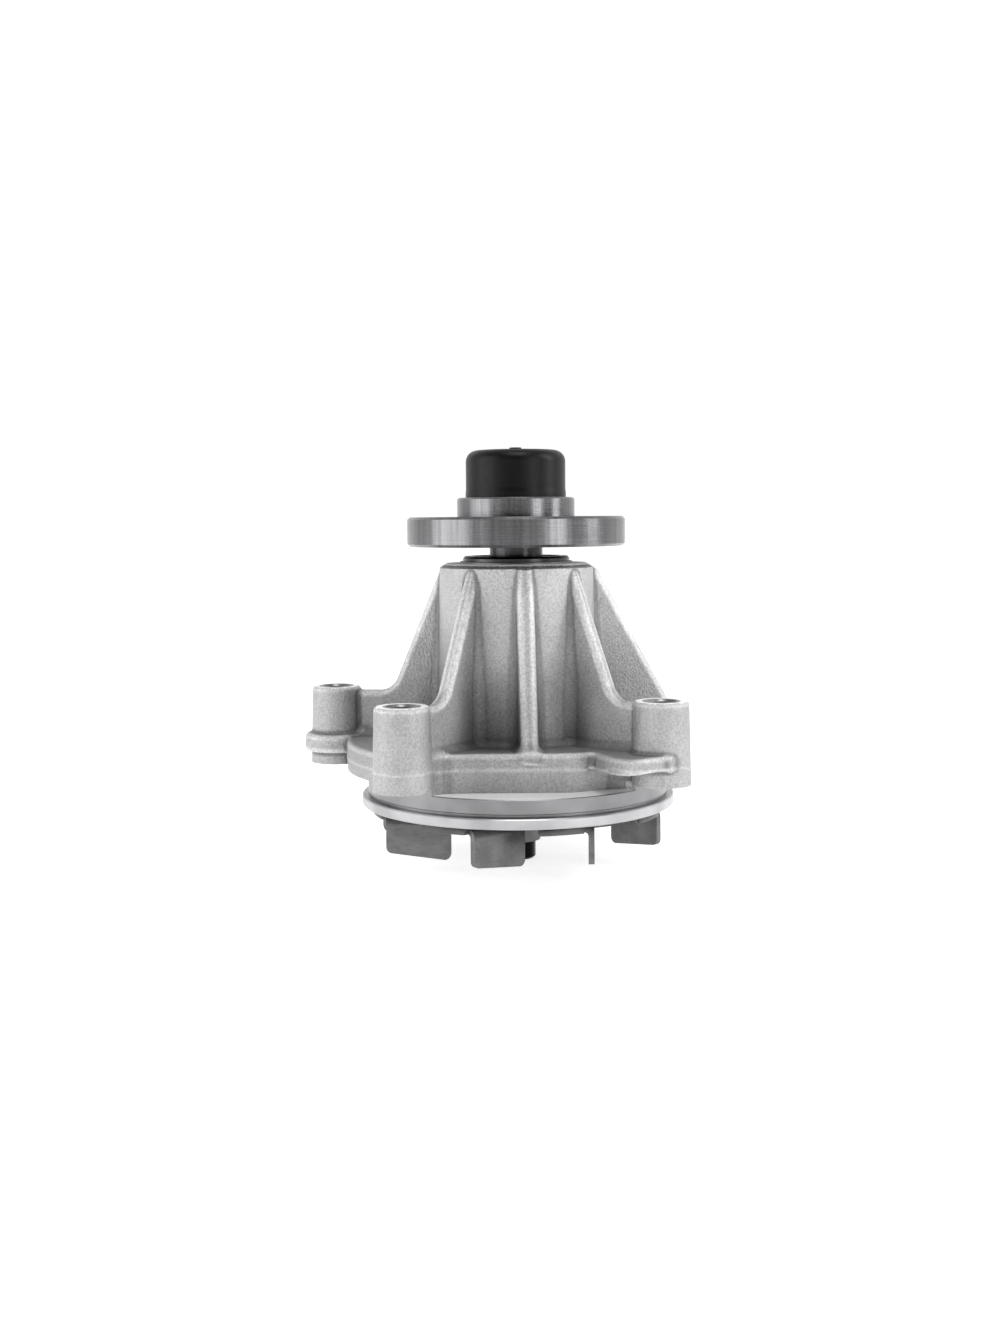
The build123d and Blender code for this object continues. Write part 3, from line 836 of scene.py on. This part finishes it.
cast = cast_aluminium()
machined = machined_aluminium()
milled = milled_aluminium()
seal_rubber = black_rubber("seal_rubber", 0.008)
steel = ground_steel()
polished = hidden_finish("polished_steel", (0.7, 0.7, 0.71), 1.0, 0.12)
cage = hidden_finish("cage_polyamide", (0.16, 0.12, 0.07), 0.0, 0.5)
spring_steel = hidden_finish("spring_steel", (0.5, 0.5, 0.51), 1.0, 0.3)
finishes = {
    "pulley_hub": turned_steel(),
    # The shaft and the bearing ring take the dark steel, partly painted shade under the hub.
    "shaft": steel,
    "bearing_outer_ring": steel,
    "impeller": stamped_steel(),
    "thread_cap": black_rubber("cap_rubber", 0.003),
    "front_bearing_seal": seal_rubber,
    "rear_bearing_seal": seal_rubber,
    "seal_bellows": seal_rubber,
    "seat_cup": seal_rubber,
    "bearing_balls": polished,
    "bearing_rollers": polished,
    "ball_cage": cage,
    "roller_cage": cage,
    "slinger": cage,
    "upper_spring_washer": spring_steel,
    "lower_spring_washer": spring_steel,
    "seal_spring": spring_steel,
    "seal_case": hidden_finish("drawn_brass", (0.72, 0.5, 0.22), 1.0, 0.3),
    "carbon_ring": hidden_finish("carbon", (0.04, 0.04, 0.045), 0.0, 0.35),
    "seal_seat": hidden_finish("ceramic", (0.85, 0.84, 0.8), 0.0, 0.2),
}

for node, material in finishes.items():
    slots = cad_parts[node].data.materials
    if len(slots):
        slots[0] = material
    else:
        slots.append(material)


# ---- Housing ----


def make_housing():
    """The casting in one closed mesh, with its tooled faces in their own materials."""
    step = 0.75
    margin = 1.3
    low = [housing_low[0] - margin, housing_low[1] - margin, SKIRT_BOTTOM - margin]
    high = [housing_high[0] + margin, housing_high[1] + margin, TOWER_TOP + margin]
    housing = contour(housing_field, low, high, step, "housing_casting")
    mesh = housing.data
    x, y, z = read(mesh.polygons, "center").T / MM
    r = np.hypot(x, y)
    off_the_cone = (z > TOWER_TOP - 0.1) | (z < BOSS_TOP + 0.5)
    tooled = (np.abs(tooling_field(x, y, z)) < 0.12) & off_the_cone
    tooled |= (r < TOWER_RADIUS - 1.5) & (z > TOWER_TOP - 3)
    tooled |= (np.abs(z) < 0.1) & (r > LAND_RADIUS)
    tooled |= (np.abs(r - LAND_RADIUS) < 0.2) & (z < 0)
    level = np.abs(read(mesh.polygons, "normal")[:, 2]) > 0.7
    rough_casting, turned_face, milled_face = range(3)
    index = np.where(tooled, np.where(level, milled_face, turned_face), rough_casting)
    mesh.polygons.foreach_set("material_index", index)
    mark_edge_light_and_fillet_shade(housing, casting_field)
    # Painted shade between the ribs and painted shadow on the cone, read by the casting's
    # material.
    mark_painted_shade(housing)
    shade(housing, 38)
    true_normals(housing, housing_field)
    place(housing, "pump_body", [cast, machined, milled], "housing")


def make_pilot():
    """The turned pilot below the mounting plane, with its lip and a ring groove underneath."""
    bevel = 0.4
    groove_inner, groove_top = 30.0, -7.0
    relief = LAND_RADIUS - 0.45
    outline = [
        (WET_CAVITY_RADIUS, LIP_BOTTOM),
        (groove_inner, LIP_BOTTOM),
        (groove_inner, groove_top),
        (LIP_INNER_RADIUS, groove_top),
        (LIP_INNER_RADIUS, LIP_BOTTOM),
        (LIP_RADIUS - bevel, LIP_BOTTOM),
        (LIP_RADIUS, LIP_BOTTOM + bevel),
        (LIP_RADIUS, LIP_TOP - bevel),
        (LIP_RADIUS - bevel, LIP_TOP),
        (LAND_RADIUS + 0.1, LIP_TOP),
        (relief, LIP_TOP + 0.15),
        (relief, LIP_TOP + 0.9),
        (LAND_RADIUS, LIP_TOP + 1.2),
        (LAND_RADIUS, SKIRT_BOTTOM - 0.3),
        (LAND_RADIUS - 0.3, SKIRT_BOTTOM),
        (WET_CAVITY_RADIUS, SKIRT_BOTTOM),
    ]
    pilot = lathe("housing_pilot", outline, 360)
    for face in pilot.data.polygons:
        face.material_index = int(face.center.z > (SKIRT_BOTTOM - 0.1) * MM)
    shade(pilot, 20)
    place(pilot, "pump_body", [machined, milled], "housing")


def make_bore_rim():
    """The turned rim round the bearing at the top of the tower."""
    top = housing_high[2]
    outline = [
        (bore_radius, TOWER_TOP - 3),
        (RING_SEAT_RADIUS, TOWER_TOP - 3),
        (RING_SEAT_RADIUS, top - 0.25),
        (RING_SEAT_RADIUS - 0.25, top),
        (bore_radius + 0.2, top),
        (bore_radius, top - 0.2),
    ]
    rim = lathe("housing_bore_rim", outline, 256)
    shade(rim, 20)
    place(rim, "pump_body", [machined], "housing")


def make_bolt_rim(number, x, y):
    """Crisp turned mouth of a bolt hole, let into the top of its boss."""
    outline = [
        (BOLT_RADIUS, BOSS_TOP - RIM_DEPTH),
        (RIM_RADIUS, BOSS_TOP - RIM_DEPTH),
        (RIM_RADIUS, BOSS_TOP - 0.1),
        (RIM_RADIUS - 0.3, BOSS_TOP),
        (BOLT_RADIUS + 0.8, BOSS_TOP),
        (BOLT_RADIUS + 0.6, BOSS_TOP - 0.1),
        (BOLT_RADIUS, BOSS_TOP - 0.8),
    ]
    rim = lathe(f"bolt_rim_{number}", outline, 96)
    for vertex in rim.data.vertices:
        vertex.co += Vector((x, y, 0)) * MM
    shade(rim, 20)
    place(rim, "pump_body", [machined], "housing")


def make_blades():
    """The impeller with its sheet edges rounded off."""
    blades = softened_copy("impeller", 0.3)
    blades.data.materials.clear()
    place(blades, "rotor", [finishes["impeller"]], "impeller")


make_housing()
make_pilot()
make_bore_rim()
for number, (boss_x, boss_y, _, _) in enumerate(bosses):
    make_bolt_rim(number, boss_x, boss_y)
make_blades()


# ---- Studio ----


def make_stage():
    """A pale floor at the pump's lowest point."""
    floor_mesh = bpy.data.meshes.new("floor")
    reach, height = 8.0, cad_box[0].z
    signs = ((-1, -1), (1, -1), (1, 1), (-1, 1))
    corners = [(x * reach, y * reach, height) for x, y in signs]
    floor_mesh.from_pydata(corners, [], [(0, 1, 2, 3)])
    floor = bpy.data.objects.new("floor", floor_mesh)
    bpy.context.scene.collection.objects.link(floor)
    paint = bpy.data.materials.new("floor_paint")
    paint.use_nodes = True
    shader = paint.node_tree.nodes["Principled BSDF"]
    shader.inputs["Base Color"].default_value = (0.7, 0.7, 0.7, 1)
    shader.inputs["Emission Color"].default_value = (1, 1, 1, 1)
    shader.inputs["Emission Strength"].default_value = 0.8
    shader.inputs["Roughness"].default_value = 0.9
    shader.inputs["Specular IOR Level"].default_value = 0.1
    floor_mesh.materials.append(paint)


def softbox(name, azimuth, elevation, distance, width, height, power):
    """Area light that looks at the pump. Azimuth is measured from the front, -Y."""
    a, e = math.radians(azimuth), math.radians(elevation)
    offset = Vector((math.sin(a) * math.cos(e), -math.cos(a) * math.cos(e), math.sin(e)))
    data = bpy.data.lights.new(name, "AREA")
    data.shape = "RECTANGLE"
    data.size = width
    data.size_y = height
    data.energy = power
    light = bpy.data.objects.new(name, data)
    light.location = Vector((0, 0, 0.04)) + offset * distance
    light.rotation_euler = (-offset).to_track_quat("-Z", "Y").to_euler()
    bpy.context.scene.collection.objects.link(light)


def make_lights():
    softbox("left_box", -72, 14, 0.9, 0.75, 0.8, 4.4)
    softbox("right_box", 84, 26, 0.9, 0.2, 0.7, 3.6)
    softbox("left_strip", -36, 6, 1.0, 0.03, 0.9, 0.3)
    softbox("right_strip", 42, 14, 1.0, 0.3, 0.7, 2.1)
    softbox("top_box", 10, 68, 1.1, 0.5, 0.5, 4.5)
    make_world(0.06, 1.02)


def make_world(front, back):
    """White studio walls that are darker towards the front, -Y."""
    world = bpy.data.worlds.new("studio")
    bpy.context.scene.world = world
    world.use_nodes = True
    nodes, links = world.node_tree.nodes, world.node_tree.links
    coordinates = nodes.new("ShaderNodeTexCoord")
    split = nodes.new("ShaderNodeSeparateXYZ")
    links.new(coordinates.outputs["Generated"], split.inputs[0])
    level = nodes.new("ShaderNodeMapRange")
    level.interpolation_type = "SMOOTHSTEP"
    level.inputs["From Min"].default_value = -0.6
    level.inputs["From Max"].default_value = 0.92
    level.inputs["To Min"].default_value = front
    level.inputs["To Max"].default_value = back
    links.new(split.outputs["Y"], level.inputs["Value"])
    background = nodes["Background"]
    background.inputs["Color"].default_value = (1.0, 1.0, 1.0, 1)
    links.new(level.outputs["Result"], background.inputs["Strength"])


def make_camera():
    """The photo's viewing angle, with the focal length in pixels of a 1320 pixel high image."""
    data = bpy.data.cameras.new("camera")
    data.sensor_width = 36
    long_side, focal = 1320, 1514
    data.shift_y = -0.0535
    data.lens = data.sensor_width * focal / long_side
    camera = bpy.data.objects.new("camera", data)
    camera.location = (0.0, -0.5416, 0.088)
    pitch, roll, yaw = math.radians(-2.66), 0.0078, math.atan2(16.4, focal)
    turn = Matrix.Rotation(yaw, 4, "Z") @ Matrix.Rotation(math.radians(90) + pitch, 4, "X")
    camera.rotation_euler = (turn @ Matrix.Rotation(-roll, 4, "Z")).to_euler()
    bpy.context.scene.collection.objects.link(camera)
    bpy.context.scene.camera = camera


make_stage()
make_lights()
make_camera()
bpy.context.scene.view_settings.view_transform = "Standard"
